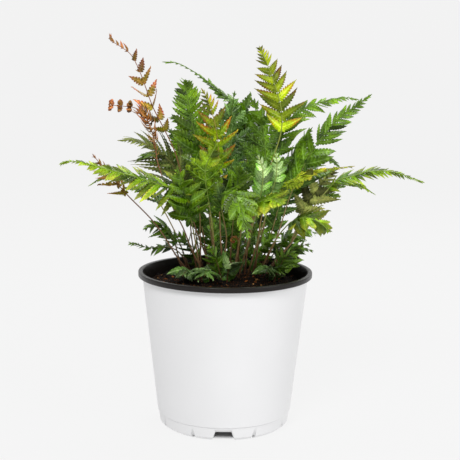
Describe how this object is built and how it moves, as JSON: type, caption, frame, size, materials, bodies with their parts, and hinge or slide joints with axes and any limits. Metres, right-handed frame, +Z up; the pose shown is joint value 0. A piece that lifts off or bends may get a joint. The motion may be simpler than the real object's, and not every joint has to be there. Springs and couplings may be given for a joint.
{
  "type": "potted fern",
  "caption": "Young autumn fern in a tapered nursery pot: arching feathery fronds, green with bronze and yellow ones, stand in potting soil inside a white pot with a black rim and drain slots.",
  "frame": {"origin": "centre of the pot's underside, on the surface that the pot stands on", "axes": "+Z up along the axis of the pot, -Y towards the viewer of the picture, +X to the right in it"},
  "size_m": [0.3564, 0.3086, 0.3931],
  "materials": {
    "pot_plastic": "satin",
    "potting_soil": "matte",
    "frond_bronze": "satin",
    "frond_turning": "satin",
    "frond_spring": "satin",
    "frond_bright": "satin",
    "frond_olive": "satin",
    "frond_dark": "satin",
    "frond_pale": "gloss"
  },
  "bodies": {
    "root": {"pot": "pot_plastic", "soil": "potting_soil", "frond_crown_tip": "frond_spring", "frond_bronze_tall": "frond_bronze", "frond_bronze_low": "frond_bronze", "frond_long_right": "frond_dark", "frond_arch_right": "frond_bright", "frond_far_right": "frond_spring", "frond_left_arch": "frond_bright", "frond_left_comb": "frond_olive", "frond_young_left": "frond_turning", "frond_bright_upright": "frond_bright", "frond_long_tip": "frond_dark", "frond_orange_edge": "frond_turning", "frond_pale_left": "frond_pale", "frond_pale_right": "frond_pale", "frond_yellow_front": "frond_turning", "frond_hang_front": "frond_bright", "frond_low_right": "frond_spring", "frond_bronze_yellow": "frond_turning", "frond_bright_front": "frond_bright", "frond_dark_centre": "frond_dark", "frond_olive_under": "frond_olive", "frond_dark_back_left": "frond_dark", "frond_mid_left": "frond_dark", "frond_mid_right": "frond_dark", "frond_centre_low": "frond_dark", "frond_front_left": "frond_bright", "frond_centre_high": "frond_dark", "frond_back_left": "frond_dark", "frond_back": "frond_bright", "frond_back_right": "frond_dark", "frond_side_left": "frond_bright", "frond_side_right": "frond_bright", "frond_low_left_dark": "frond_dark", "frond_low_left_thin": "frond_dark", "frond_low_right_tip": "frond_dark", "frond_low_right_dark": "frond_dark", "frond_low_back_left": "frond_dark", "frond_low_back_right": "frond_dark", "frond_soil_right": "frond_dark", "frond_soil_mid_right": "frond_bright", "frond_soil_pale": "frond_pale", "frond_soil_front": "frond_bright", "frond_soil_left": "frond_bright", "frond_low_mid_left": "frond_dark", "frond_low_mid": "frond_dark", "frond_low_mid_right": "frond_dark", "frond_low_far_right": "frond_dark", "frond_low_left": "frond_dark", "frond_low_front_right": "frond_dark", "frond_low_front": "frond_dark", "frond_low_back_mid": "frond_dark", "crozier": "frond_bronze"}
  },
  "joints": []
}
